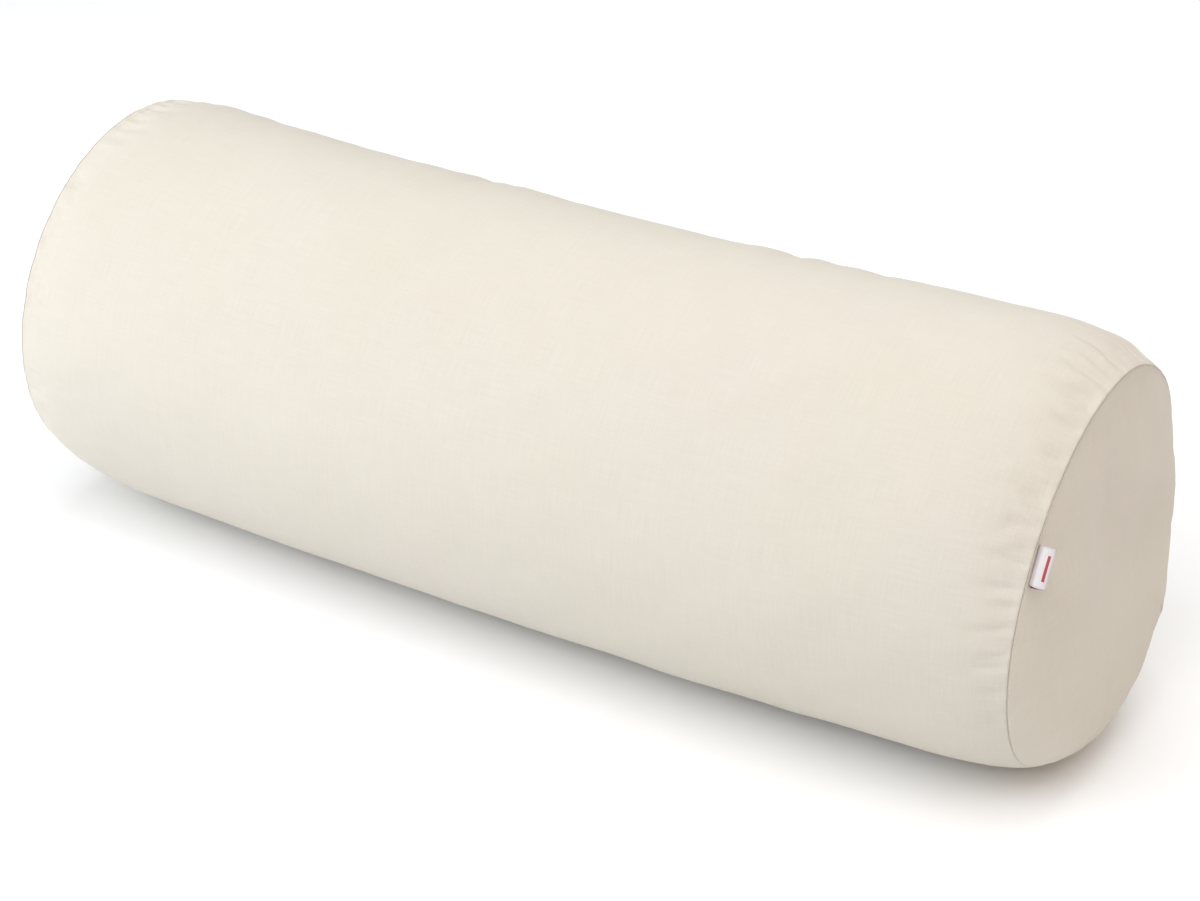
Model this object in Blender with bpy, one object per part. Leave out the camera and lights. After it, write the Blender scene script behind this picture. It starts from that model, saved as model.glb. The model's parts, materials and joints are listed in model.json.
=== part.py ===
"""Round bolster pillow: zipped cotton cover over a sewn inner cushion, one object per sub-part."""
import math

import bmesh
import bpy
from mathutils import Matrix, Vector

# Driving dimensions, in metres. X runs along the bolster, the label end is +X, Z is up.
R = 0.110                 # radius of the tube at its middle
CENTRE_Z = 0.105          # axis height: the tube settles 5 mm flat where it lies
SEAM_R = 0.099            # radius of the end seams
END_X = 0.2826            # outer end face of the tube panel
SHOULDER = 0.060          # length over which the tube draws in to each seam
BULGE = 0.020             # how far the end panels dome out
CLOTH = 0.0008            # cover cloth
CASING = 0.0006           # inner cushion cloth
GAP = 0.0003
ALLOWANCE = 0.009         # width of the turned-in seam allowances
SIDES = 40                # flats round the bolster
STEP = 2 * math.pi / SIDES

ZIP_ANGLE = 2.5 * STEP    # 22.5 degrees above level, on the back
ZIP_HALF = 0.218          # half the length of the coils
SLOT_HALF = 0.2225
SLOT_WIDTH = 0.010
TAPE_HALF = 0.228
SLIDER_LENGTH = 0.009
SLIDER_X = 0.2137         # closed: against the top stops
HINGE_OUT = 0.0034        # pull axis above the cloth

LABEL_ANGLE = math.radians(154)
LABEL_WIDTH = 0.022
LABEL_OUT = 0.009

for old in list(bpy.data.objects):
    bpy.data.objects.remove(old)


def material(name, colour, rough, metal=0.0):
    made = bpy.data.materials.new(name)
    made.use_nodes = True
    shader = made.node_tree.nodes["Principled BSDF"]
    shader.inputs["Base Color"].default_value = (*colour, 1)
    shader.inputs["Roughness"].default_value = rough
    shader.inputs["Metallic"].default_value = metal
    made.diffuse_color = (*colour, 1)
    return made


CREAM = (0.86, 0.80, 0.70)
CALICO = (0.80, 0.74, 0.62)


def finish(name, mesh, colour, rough, metal=0.0, smooth=False, origin=None):
    """Name the mesh, give it its own material and, if asked, move its origin."""
    obj = bpy.data.objects.new(name, mesh)
    mesh.name = name
    bpy.context.scene.collection.objects.link(obj)
    mesh.materials.append(material(name, colour, rough, metal))
    if origin is not None:
        mesh.transform(Matrix.Translation(-Vector(origin)))
        obj.location = origin
    if smooth:
        for face in mesh.polygons:
            face.use_smooth = True
        mesh.set_sharp_from_angle(angle=math.radians(35))
    return obj


def corner(k, radius, floor):
    """Corner k of the many-sided section of this radius, pressed flat at height floor."""
    a = k * STEP
    return (radius * math.cos(a), max(CENTRE_Z + radius * math.sin(a), floor))


def on_section(angle, radius, floor):
    """The point of the section's straight sides at any angle."""
    k = math.floor(angle / STEP)
    f = angle / STEP - k
    a = corner(k, radius, floor)
    b = corner(k + 1, radius, floor)
    return (a[0] + f * (b[0] - a[0]), a[1] + f * (b[1] - a[1]))


def solid(rings, faces, end_caps=()):
    """A closed mesh from its points and faces, facing out."""
    mesh = bpy.data.meshes.new("mesh")
    mesh.from_pydata(rings, [], list(faces) + list(end_caps))
    shape = bmesh.new()
    shape.from_mesh(mesh)
    bmesh.ops.recalc_face_normals(shape, faces=shape.faces)
    if shape.calc_volume(signed=True) < 0:
        bmesh.ops.reverse_faces(shape, faces=shape.faces)
    shape.to_mesh(mesh)
    shape.free()
    return mesh


def turned(profile, closed):
    """Sweep (x, radius, floor) round the bolster's flattened section.

    A closed profile makes a hollow ring. An open one starts and ends on the axis.
    """
    points = []
    rows = []
    for x, radius, floor in profile:
        if radius <= 0:
            rows.append([len(points)])
            points.append((x, 0.0, CENTRE_Z))
            continue
        rows.append(list(range(len(points), len(points) + SIDES)))
        for k in range(SIDES):
            y, z = corner(k, radius, floor)
            points.append((x, y, z))
    faces = []
    pairs = list(zip(rows, rows[1:]))
    if closed:
        pairs.append((rows[-1], rows[0]))
    for a, b in pairs:
        for k in range(SIDES):
            n = (k + 1) % SIDES
            if len(a) == 1:
                faces.append((a[0], b[k], b[n]))
            elif len(b) == 1:
                faces.append((a[k], b[0], a[n]))
            else:
                faces.append((a[k], b[k], b[n], a[n]))
    return solid(points, faces)


def tube_radius(x, inset):
    """Radius of the tube panel's outer face, less the inset of an inner layer."""
    s = max(0.0, (abs(x) - (END_X - SHOULDER)) / SHOULDER)
    return R - (R - SEAM_R) * min(s, 1.0) ** 2.4 - inset


def stations(end, parts):
    """Places along one half of the tube where its profile bends."""
    start = END_X - SHOULDER
    return [start + (end - start) * (i / parts) ** 0.8 for i in range(parts + 1)]


def tube_panel(end, inset, wall, lip, parts):
    """The long panel: a tube with its end allowances turned in towards the axis."""
    half = stations(end, parts)
    outer = [(x, tube_radius(x, inset), inset) for x in half]
    far = outer[-1]
    inner_end = end - wall
    inner = [(x, tube_radius(x, inset + wall), inset + wall) for x in half[:-1]]
    inner.append((inner_end, tube_radius(end, inset + wall), inset + wall))
    lip_out = (end, far[1] - lip, inset)
    lip_in = (inner_end, far[1] - lip, inset + wall)
    mirrored = [(-x, r, f) for x, r, f in reversed(outer)]
    mirrored_in = [(-x, r, f) for x, r, f in inner]
    profile = [(-lip_out[0], lip_out[1], lip_out[2])] + mirrored + outer + [lip_out, lip_in]
    profile += list(reversed(inner)) + mirrored_in + [(-lip_in[0], lip_in[1], lip_in[2])]
    return turned(profile, True)


def end_panel(side, base, radius, bulge, wall, lip, floor, parts):
    """The round end panel: a domed disc with its allowance folded back behind it.

    base is the plane of the allowance's inner face.
    """
    dome = base + wall + GAP + wall
    steps = [(i / parts) ** 0.8 for i in range(1, parts + 1)]
    outer = [(dome + bulge, 0.0, floor)]
    outer += [(dome + bulge * (1 - u ** 2.2), radius * u, floor) for u in steps]
    back = base + wall
    inner_r = radius - wall
    inner = [(back + GAP, inner_r, floor)]
    inner += [(dome - wall + bulge * (1 - u ** 2.2), radius * u, floor) for u in reversed(steps[:-1])]
    inner += [(dome - wall + bulge, 0.0, floor)]
    fold = [(base, radius, floor), (base, radius - lip, floor), (back, radius - lip, floor),
            (back, inner_r, floor)]
    profile = outer + fold + inner
    return turned([(side * x, r, f) for x, r, f in profile], False)


def loop(x0, x1, r0, r1, floor=0.0):
    """A ring of thread between two planes and two radii."""
    return turned([(x0, r0, floor), (x1, r0, floor), (x1, r1, floor), (x0, r1, floor)], True)


# The zip's own frame: along the bolster, up round the section, and straight out of the flat.
FLAT = R * math.cos(STEP / 2)
OUT = Vector((0, math.cos(ZIP_ANGLE), math.sin(ZIP_ANGLE)))
UP = Vector((0, -math.sin(ZIP_ANGLE), math.cos(ZIP_ANGLE)))
ZIP_ORIGIN = Vector((0, 0, CENTRE_Z)) + FLAT * OUT


def zip_point(x, up, out):
    return ZIP_ORIGIN + Vector((x, 0, 0)) + up * UP + out * OUT


def zip_prism(outline, out0, out1):
    """A flat piece: an outline of (x, up) points between two distances out of the cloth."""
    n = len(outline)
    points = [zip_point(x, u, out0) for x, u in outline] + [zip_point(x, u, out1) for x, u in outline]
    faces = [tuple(range(n)), tuple(range(n, 2 * n))]
    faces += [(i, (i + 1) % n, (i + 1) % n + n, i + n) for i in range(n)]
    return solid(points, faces)


def rect(x0, x1, u0, u1):
    return [(x0, u0), (x1, u0), (x1, u1), (x0, u1)]


def zip_box(x0, x1, u0, u1, out0, out1):
    return zip_prism(rect(x0, x1, u0, u1), out0, out1)


def frame_prism(outer, inner, out0, out1):
    """A flat rectangular frame, given its outer and inner outlines corner for corner."""
    n = len(outer)
    points = [zip_point(x, u, o) for o in (out0, out1) for ring in (outer, inner) for x, u in ring]
    faces = []
    for i in range(n):
        j = (i + 1) % n
        faces.append((i, j, n + j, n + i))
        faces.append((2 * n + i, 2 * n + j, 3 * n + j, 3 * n + i))
        faces.append((i, j, 2 * n + j, 2 * n + i))
        faces.append((n + i, n + j, 3 * n + j, 3 * n + i))
    return solid(points, faces)


def helper(name, mesh):
    """A shape used only inside a Boolean."""
    obj = bpy.data.objects.new(name, mesh)
    bpy.context.scene.collection.objects.link(obj)
    obj.hide_render = True
    obj.display_type = "WIRE"
    return obj


def boolean(obj, other, kind):
    step = obj.modifiers.new(kind.lower(), "BOOLEAN")
    step.operation = kind
    step.solver = "EXACT"
    step.object = other


# Cover: the long panel with its zip opening, and the two round end panels.
cover = finish("cover_tube", tube_panel(END_X, 0.0, CLOTH, ALLOWANCE, 5), CREAM, 0.9, smooth=True)
opening = zip_box(-SLOT_HALF, SLOT_HALF, -SLOT_WIDTH / 2, SLOT_WIDTH / 2, -0.004, 0.004)
boolean(cover, helper("cut_zip_opening", opening), "DIFFERENCE")

RIM = END_X + 0.0015      # leaves room for the label and the stitching between the allowances
for side, end in ((1, "label"), (-1, "plain")):
    panel = end_panel(side, RIM, SEAM_R, BULGE, CLOTH, ALLOWANCE, 0.0, 6)
    finish("cover_end_" + end, panel, CREAM, 0.9, smooth=True)
    thread = loop(side * (END_X + 0.0009), side * (END_X + 0.0012), SEAM_R - 0.0020, SEAM_R - 0.0014)
    finish("cover_seam_thread_" + end, thread, CREAM, 0.7)

# Side label: a folded satin tab caught in the seam, turned out over the rim of the end panel.
angles = [LABEL_ANGLE + f * LABEL_WIDTH / SEAM_R for f in (-0.5, 0.5)]
angles.insert(1, math.ceil(angles[0] / STEP) * STEP)
path = [
    ((END_X + 0.0003, SEAM_R - 0.0060), (END_X + 0.0006, SEAM_R - 0.0060)),
    ((END_X + 0.0003, SEAM_R + 0.0007), (END_X + 0.0006, SEAM_R + 0.0004)),
    ((END_X + 0.0008, SEAM_R + 0.0010), (END_X + 0.0009, SEAM_R + 0.0007)),
    ((END_X + LABEL_OUT, SEAM_R + 0.0020), (END_X + LABEL_OUT, SEAM_R + 0.0017)),
]
points = []
for a in angles:
    for outer, inner in path:
        for x, r in (outer, inner):
            y, z = on_section(a, r, 0.0)
            points.append((x, y, z))
faces = []
row = 2 * len(path)
for i in range(len(angles) - 1):
    for j in range(len(path) - 1):
        for k in (0, 1):
            p = i * row + 2 * j + k
            faces.append((p, p + 2, p + 2 + row, p + row))
    for j in (0, len(path) - 1):
        p = i * row + 2 * j
        faces.append((p, p + 1, p + 1 + row, p + row))
for i in (0, len(angles) - 1):
    for j in range(len(path) - 1):
        p = i * row + 2 * j
        faces.append((p, p + 1, p + 3, p + 2))
finish("side_label", solid(points, faces), (0.90, 0.89, 0.87), 0.4)

# Zip: two tapes behind the cloth, two coils standing in the opening, stops, slider and pull.
for sign, name in ((1, "upper"), (-1, "lower")):
    tape = zip_box(-TAPE_HALF, TAPE_HALF, *sorted((sign * 0.00045, sign * 0.0083)), -0.0016, -0.0011)
    finish("zip_tape_" + name, tape, (0.80, 0.76, 0.68), 0.85)
    coil = zip_box(-ZIP_HALF, ZIP_HALF, *sorted((sign * 0.00045, sign * 0.0030)), -0.0008, 0.0009)
    finish("zip_coil_" + name, coil, (0.84, 0.80, 0.72), 0.45)
    stop = zip_box(ZIP_HALF + 0.0005, ZIP_HALF + 0.0030, *sorted((sign * 0.00045, sign * 0.0028)),
                   -0.0008, 0.0020)
    finish("zip_top_stop_" + name, stop, (0.75, 0.74, 0.72), 0.3, 1.0)
stop = zip_box(-ZIP_HALF - 0.0030, -ZIP_HALF - 0.0005, -0.0028, 0.0028, -0.0008, 0.0020)
finish("zip_bottom_stop", stop, (0.75, 0.74, 0.72), 0.3, 1.0)

stitching = frame_prism(rect(-0.2262, 0.2262, -0.0073, 0.0073), rect(-0.2257, 0.2257, -0.0069, 0.0069),
                        0.0003, 0.0006)
finish("zip_stitching", stitching, CREAM, 0.7)

# Slider, as one outline across the zip: cap and side flanges, a web between the coils, a back plate.
half = SLIDER_LENGTH / 2
section = [
    (-0.0045, -0.0025), (0.0045, -0.0025), (0.0045, -0.0019), (0.00015, -0.0019),
    (0.00015, 0.0012), (0.0034, 0.0012), (0.0034, -0.0005), (0.0044, -0.0005),
    (0.0044, 0.0018), (0.0038, 0.0024), (-0.0038, 0.0024), (-0.0044, 0.0018),
    (-0.0044, -0.0005), (-0.0034, -0.0005), (-0.0034, 0.0012), (-0.00015, 0.0012),
    (-0.00015, -0.0019), (-0.0045, -0.0019),
]
n = len(section)
points = [zip_point(x, u, o) for x in (SLIDER_X - half, SLIDER_X + half) for u, o in section]
faces = [tuple(range(n)), tuple(range(n, 2 * n))]
faces += [(i, (i + 1) % n, (i + 1) % n + n, i + n) for i in range(n)]
slider = finish("zip_slider", solid(points, faces), (0.78, 0.77, 0.75), 0.3, 1.0,
                origin=zip_point(SLIDER_X, 0, 0))
crown_side = [
    (-0.0036, 0.0020), (-0.0022, 0.0020), (-0.0022, 0.0044), (0.0022, 0.0044),
    (0.0022, 0.0020), (0.0036, 0.0020), (0.0036, 0.0046), (0.0028, 0.0054),
    (-0.0028, 0.0054), (-0.0036, 0.0046),
]
n = len(crown_side)
points = [zip_point(SLIDER_X + x, u, o) for u in (-0.0008, 0.0008) for x, o in crown_side]
faces = [tuple(range(n)), tuple(range(n, 2 * n))]
faces += [(i, (i + 1) % n, (i + 1) % n + n, i + n) for i in range(n)]
boolean(slider, helper("join_slider_crown", solid(points, faces)), "UNION")

# Pull: a flat tab with an eye round the slider's crown; its origin is on its hinge axis.
eye_out = rect(-0.0064, 0.00045, -0.0028, 0.0028)
eye_in = rect(-0.0052, -0.00045, -0.0014, 0.0014)
pull = frame_prism([(SLIDER_X + x, u) for x, u in eye_out], [(SLIDER_X + x, u) for x, u in eye_in],
                   HINGE_OUT - 0.00045, HINGE_OUT + 0.00045)
pull = finish("zip_pull", pull, (0.78, 0.77, 0.75), 0.3, 1.0, origin=zip_point(SLIDER_X, 0, HINGE_OUT))
tab_outline = [
    (-0.0055, -0.0020), (-0.0055, 0.0020), (-0.0100, 0.0019), (-0.0220, 0.0031),
    (-0.0250, 0.0026), (-0.0262, 0.0010), (-0.0262, -0.0010), (-0.0250, -0.0026),
    (-0.0220, -0.0031), (-0.0100, -0.0019),
]
tab = zip_prism([(SLIDER_X + x, u) for x, u in tab_outline], HINGE_OUT - 0.00035, HINGE_OUT + 0.00035)
boolean(pull, helper("join_pull_tab", tab), "UNION")

# Inner cushion: its own tube and end panels, sewn, stuffed through a gap closed by hand.
LINING = 0.0030           # inner cushion's face, inside the cover's face
LINING_END = END_X - 0.0090
LINING_R = tube_radius(LINING_END, LINING)
LINING_BULGE = 0.0275
inner_tube = tube_panel(LINING_END, LINING, CASING, 0.006, 4)
finish("inner_tube", inner_tube, CALICO, 0.95, smooth=True)
for side, end in ((1, "label"), (-1, "plain")):
    panel = end_panel(side, LINING_END + 0.0009, LINING_R, LINING_BULGE, CASING, 0.006, LINING, 5)
    finish("inner_end_" + end, panel, CALICO, 0.95, smooth=True)
    thread = loop(side * (LINING_END + 0.0003), side * (LINING_END + 0.0006),
                  LINING_R - 0.0020, LINING_R - 0.0014)
    finish("inner_seam_thread_" + end, thread, CALICO, 0.7)

# Hand-sewn closing line on top of the inner tube, centred on one flat.
top = 11.5 * STEP
top_out = Vector((0, math.cos(top), math.sin(top)))
top_up = Vector((0, -math.sin(top), math.cos(top)))
base = Vector((0, 0, CENTRE_Z)) + (R - LINING) * math.cos(STEP / 2) * top_out
points = [base + Vector((x, 0, 0)) + u * top_up + o * top_out
          for x in (-0.075, 0.075) for u, o in ((-0.0004, 0.0003), (0.0004, 0.0003),
                                                (0.0004, 0.0008), (-0.0004, 0.0008))]
faces = [(0, 1, 2, 3), (4, 5, 6, 7)] + [(i, (i + 1) % 4, (i + 1) % 4 + 4, i + 4) for i in range(4)]
finish("inner_closing_stitch", solid(points, faces), CALICO, 0.7)

# Filling: one plump body just inside the inner cushion's cloth.
inset = LINING + CASING + 0.0012
fill_end = LINING_END - 0.0058
fill_r = tube_radius(fill_end, inset)
ends = [(fill_end + 0.033 * (1 - u ** 2.2), fill_r * u, inset) for u in (0.0, 0.4, 0.65, 0.85)]
side_rows = [(x, tube_radius(x, inset), inset) for x in reversed(stations(fill_end, 4))]
right = ends + side_rows
profile = right + [(-x, r, f) for x, r, f in reversed(right)]
finish("filling", turned(profile, False), (0.72, 0.60, 0.42), 1.0, smooth=True)
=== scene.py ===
"""Looks of a round bolster pillow: sewn cotton cover, zip, side label, inner cushion and studio."""
import json
import math

import bmesh
import bpy
import numpy as np
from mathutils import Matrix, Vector


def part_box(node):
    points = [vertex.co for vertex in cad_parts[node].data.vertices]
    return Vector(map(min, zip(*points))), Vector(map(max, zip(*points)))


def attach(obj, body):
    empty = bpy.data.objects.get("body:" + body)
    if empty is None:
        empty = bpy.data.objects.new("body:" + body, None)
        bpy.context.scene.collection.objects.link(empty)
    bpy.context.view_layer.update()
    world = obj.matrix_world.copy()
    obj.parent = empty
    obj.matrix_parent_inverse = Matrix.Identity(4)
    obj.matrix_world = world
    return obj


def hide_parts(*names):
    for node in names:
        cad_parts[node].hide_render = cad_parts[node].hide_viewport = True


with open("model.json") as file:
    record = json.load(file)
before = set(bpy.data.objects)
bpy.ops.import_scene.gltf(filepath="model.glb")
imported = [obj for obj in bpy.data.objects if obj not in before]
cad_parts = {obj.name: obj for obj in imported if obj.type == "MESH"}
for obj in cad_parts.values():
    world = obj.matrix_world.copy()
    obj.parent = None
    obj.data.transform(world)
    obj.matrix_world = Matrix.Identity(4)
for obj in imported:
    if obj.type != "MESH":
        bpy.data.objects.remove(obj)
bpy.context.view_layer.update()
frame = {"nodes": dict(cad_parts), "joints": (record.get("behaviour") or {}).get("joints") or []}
SEED = 11
TURN = 2 * math.pi

# ---- places read from the frame
TUBE_LO, TUBE_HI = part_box("cover_tube")
R = (TUBE_HI.y - TUBE_LO.y) / 2  # radius of the tube
AXIS_Z = TUBE_HI.z - R  # height of its axis in the CAD
HALF = TUBE_HI.x + 0.0014  # the end seams' distance from the middle
ZIP_ANGLE = math.radians(22.5)
COIL_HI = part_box("zip_coil_upper")[1].x
SLIDER_LO, SLIDER_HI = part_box("zip_slider")
SLIDER_X = (SLIDER_LO.x + SLIDER_HI.x) / 2
JOINTS = {j["name"]: j for j in frame["joints"]}
PULL_AT = Vector(JOINTS["zip_pull_hinge"]["pos_m"])

# ---- the cushion's soft shape
# For each end: its seam's radius, and how much larger its top is (tuck); how long the tube takes to
# draw in (shoulder), how late (draw), and how much shorter at the top (ease); how far the panel
# bulges, how much more at the bottom (slump), and how flat its middle is (dome); how far its top
# leans out; and how far the whole seam sits off the tube's centre.
NEAR = {"seam": 0.0993, "shoulder": 0.1332, "draw": 8.42, "ease": -0.109, "tuck": -0.0055,
        "bulge": 0.0135, "slump": 1.20, "dome": 7.1, "lean": 0.0023, "off_centre": 0.006}
FAR = {"seam": 0.1024, "shoulder": 0.1100, "draw": 5.76, "ease": 0.339, "tuck": 0.0045,
       "bulge": 0.0148, "slump": -0.63, "dome": 2.84, "lean": -0.0062, "off_centre": 0.0}
OFF_CENTRE = np.array([0.43, -0.75, 0.50])  # the way a seam's ring sits off the tube's centre
SOFT_AXIS_Z = 0.1038  # the stuffed tube's axis away from the zip
WAIST, SKEW, FULL = -0.0086, 0.0108, -0.0023  # shares by which the tube swells along its length
BOW_Y, BOW_Z = -0.0060, -0.0030  # the middle leans to the front and sags
FLOOR_SOFT = 0.0015  # rounding where the cloth meets the floor
LOWEST = 0.0002  # no cloth lies lower than this
DOME_SOFT = 0.05  # rounding where an end panel's slack half goes flat
ROUND = 256  # simulated cloth cells round the tube
COLUMN = TURN / ROUND
GRID = ROUND // 4  # cells across an end panel
FINE = 480  # cells round the finished tube


def smooth(lo, hi, value):
    t = np.clip((value - lo) / (hi - lo), 0, 1)
    return t * t * (3 - 2 * t)


def angle_from(place, theta):
    """Angle from a place round the tube, from -pi to pi."""
    return (theta - place + math.pi) % TURN - math.pi


def looseness(theta):
    """0 along the zip, whose tapes hold the cloth straight, and 1 away from it."""
    return smooth(math.radians(10), math.radians(36), np.abs(angle_from(ZIP_ANGLE, theta)))


def rest_on_floor(z, floor):
    z = z - floor
    return 0.5 * (z + np.sqrt(z * z + FLOOR_SOFT ** 2)) + floor


def polar(radius, theta):
    return np.stack([radius * np.cos(theta), radius * np.sin(theta)], -1)


def seam_radius(end, theta):
    return end["seam"] + end["tuck"] * np.sin(theta)


def tube_point(x, theta, inset=0.0):
    """The tube's surface, settled on the floor, or a layer this far inside it."""
    x, theta = np.broadcast_arrays(np.asarray(x, float), np.asarray(theta, float))
    loose = looseness(theta)
    up = np.sin(theta)
    t = np.abs(x) / HALF

    def at_end(key):
        return np.where(x > 0, NEAR[key], FAR[key])

    seam = np.where(x > 0, seam_radius(NEAR, theta), seam_radius(FAR, theta))
    shoulder = at_end("shoulder") * (1 - at_end("ease") * up)
    s = np.clip((np.abs(x) - (HALF - shoulder)) / shoulder, 0, 1)
    full = FULL * (0.5 + 0.5 * up) * 4 * t ** 2
    r = R * (1 + (WAIST + SKEW * x / HALF + full) * loose * (1 - t ** 2))
    drawn = s ** at_end("draw")
    r = r - (R - seam) * drawn - inset
    bow = (1 - t ** 2) * loose
    axis = AXIS_Z + (SOFT_AXIS_Z - AXIS_Z) * loose
    off = OFF_CENTRE * (drawn * at_end("off_centre"))[..., None]
    x = x + np.sign(x) * at_end("lean") * up * s + off[..., 0]
    y = r * np.cos(theta) + BOW_Y * bow + off[..., 1]
    z = rest_on_floor(axis + r * up + BOW_Z * bow + off[..., 2], inset)
    return np.stack([x, y, z], -1)


def end_point(side, u, theta, inset=0.0, back=0.0):
    """The end panel's surface: u is 0 at its middle and 1 at the seam. Its low half slumps outwards."""
    u, theta = np.broadcast_arrays(np.asarray(u, float), np.asarray(theta, float))
    end = NEAR if side > 0 else FAR
    up = np.sin(theta) * u
    fullness = 1 - end["slump"] * up
    fullness = 0.5 * (fullness + np.sqrt(fullness ** 2 + DOME_SOFT))
    dome = end["bulge"] * fullness * (1 - u ** end["dome"])
    loose = looseness(theta) * u + (1 - u)
    axis = AXIS_Z + (SOFT_AXIS_Z - AXIS_Z) * loose
    r = (seam_radius(end, theta) - inset) * u
    off = OFF_CENTRE * end["off_centre"]
    x = side * (HALF - back + end["lean"] * up + dome) + off[0]
    z = rest_on_floor(axis + r * np.sin(theta) + off[2], inset)
    return np.stack([x, r * np.cos(theta) + off[1], z], -1)


def waves(x, theta, rng, count, along, around):
    """A smooth random field on the tube, of these wavelengths in metres, repeating round it."""
    total = np.zeros(np.broadcast(x, theta).shape)
    for _ in range(count):
        k = TURN / rng.uniform(*along) * rng.choice((-1, 1))
        turns = round(TURN * R / rng.uniform(*around))
        total = total + np.cos(k * x + turns * theta + rng.uniform(0, TURN))
    return total / math.sqrt(count / 2)


# ---- cloth grids
def tube_stations():
    """Places along the tube: close together at the seams, 4 mm apart along the middle."""
    fine = HALF - 0.0012 - 0.0018 * np.arange(10)
    middle = np.linspace(-fine[-1], fine[-1], 137)
    return np.concatenate([-fine[:-1], middle, fine[:-1][::-1]])


def panel_lattice():
    """A square lattice bent to a disc: (u, theta) for each point, its edge evenly spaced in angle."""
    side = np.linspace(-1, 1, GRID + 1)
    a, b = np.meshgrid(side, side, indexing="ij")
    wide = np.abs(a) >= np.abs(b)
    safe_a = np.where(a == 0, 1e-9, a)
    safe_b = np.where(b == 0, 1e-9, b)
    radius = np.where(wide, a, b)
    angle = np.where(wide, math.pi / 4 * b / safe_a, math.pi / 2 - math.pi / 4 * a / safe_b)
    angle = np.where((a == 0) & (b == 0), 0, angle)
    u = np.abs(radius)
    theta = np.arctan2(radius * np.sin(angle), radius * np.cos(angle))
    return u, theta % TURN


STATIONS = tube_stations()
THETA = ZIP_ANGLE + COLUMN * np.arange(ROUND)
LATTICE_U, LATTICE_THETA = panel_lattice()
EDGE = np.isclose(LATTICE_U, 1)
EDGE_COLUMN = np.round((LATTICE_THETA - ZIP_ANGLE) / COLUMN).astype(int) % ROUND


def lattice_faces(index, flip=False):
    """Quads of a lattice, given each point's vertex number."""
    quads = np.stack([index[:-1, :-1], index[1:, :-1], index[1:, 1:], index[:-1, 1:]], -1).reshape(-1, 4)
    return quads[:, ::-1] if flip else quads


def grid_faces(rows, columns, wrap=False):
    index = np.arange(rows * columns).reshape(rows, columns)
    if wrap:
        index = np.concatenate([index, index[:, :1]], 1)
    return lattice_faces(index)


def make_mesh(name, points, faces, flat=None):
    """An object from points and quads; flat holds the cut cloth's place for each point or corner."""
    mesh = bpy.data.meshes.new(name)
    mesh.from_pydata([tuple(p) for p in points.tolist()], [], [tuple(f) for f in faces])
    if flat is not None:
        flat = np.asarray(flat, np.float32)
        if len(flat) == len(points):
            flat = flat[np.asarray(faces).reshape(-1)]
        mesh.uv_layers.new(name="cloth").data.foreach_set("uv", flat.reshape(-1))
    for face in mesh.polygons:
        face.use_smooth = True
    obj = bpy.data.objects.new(name, mesh)
    bpy.context.scene.collection.objects.link(obj)
    return obj


def face_out(obj):
    """Turn every face outwards."""
    shape = bmesh.new()
    shape.from_mesh(obj.data)
    bmesh.ops.recalc_face_normals(shape, faces=shape.faces)
    shape.to_mesh(obj.data)
    shape.free()


# ---- cloth simulation
SETTLE_FRAMES = 20
EASE_LENGTH = 0.015  # the cut tube narrows to its seams over this length
CLOTH_SETTINGS = {"quality": 5, "mass": 0.12, "tension_stiffness": 25, "compression_stiffness": 25,
                  "shear_stiffness": 8, "bending_stiffness": 0.6, "use_pressure": True,
                  "uniform_pressure_force": 4}


def cut_tube(x, theta):
    """The tube as it was cut: full width up to the seams, eased in over the last 15 mm."""
    ease = smooth(HALF - EASE_LENGTH, HALF, np.abs(x))
    r = R * (1.004 - 0.045 * ease)
    return np.stack([x * 1.004, r * np.cos(theta), SOFT_AXIS_Z + r * np.sin(theta)], -1)


def cut_panel(side, u, theta):
    r = R * 0.962 * u
    return np.stack([np.full(u.shape, side * HALF * 1.004), r * np.cos(theta),
                     SOFT_AXIS_Z + r * np.sin(theta)], -1)


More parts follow.
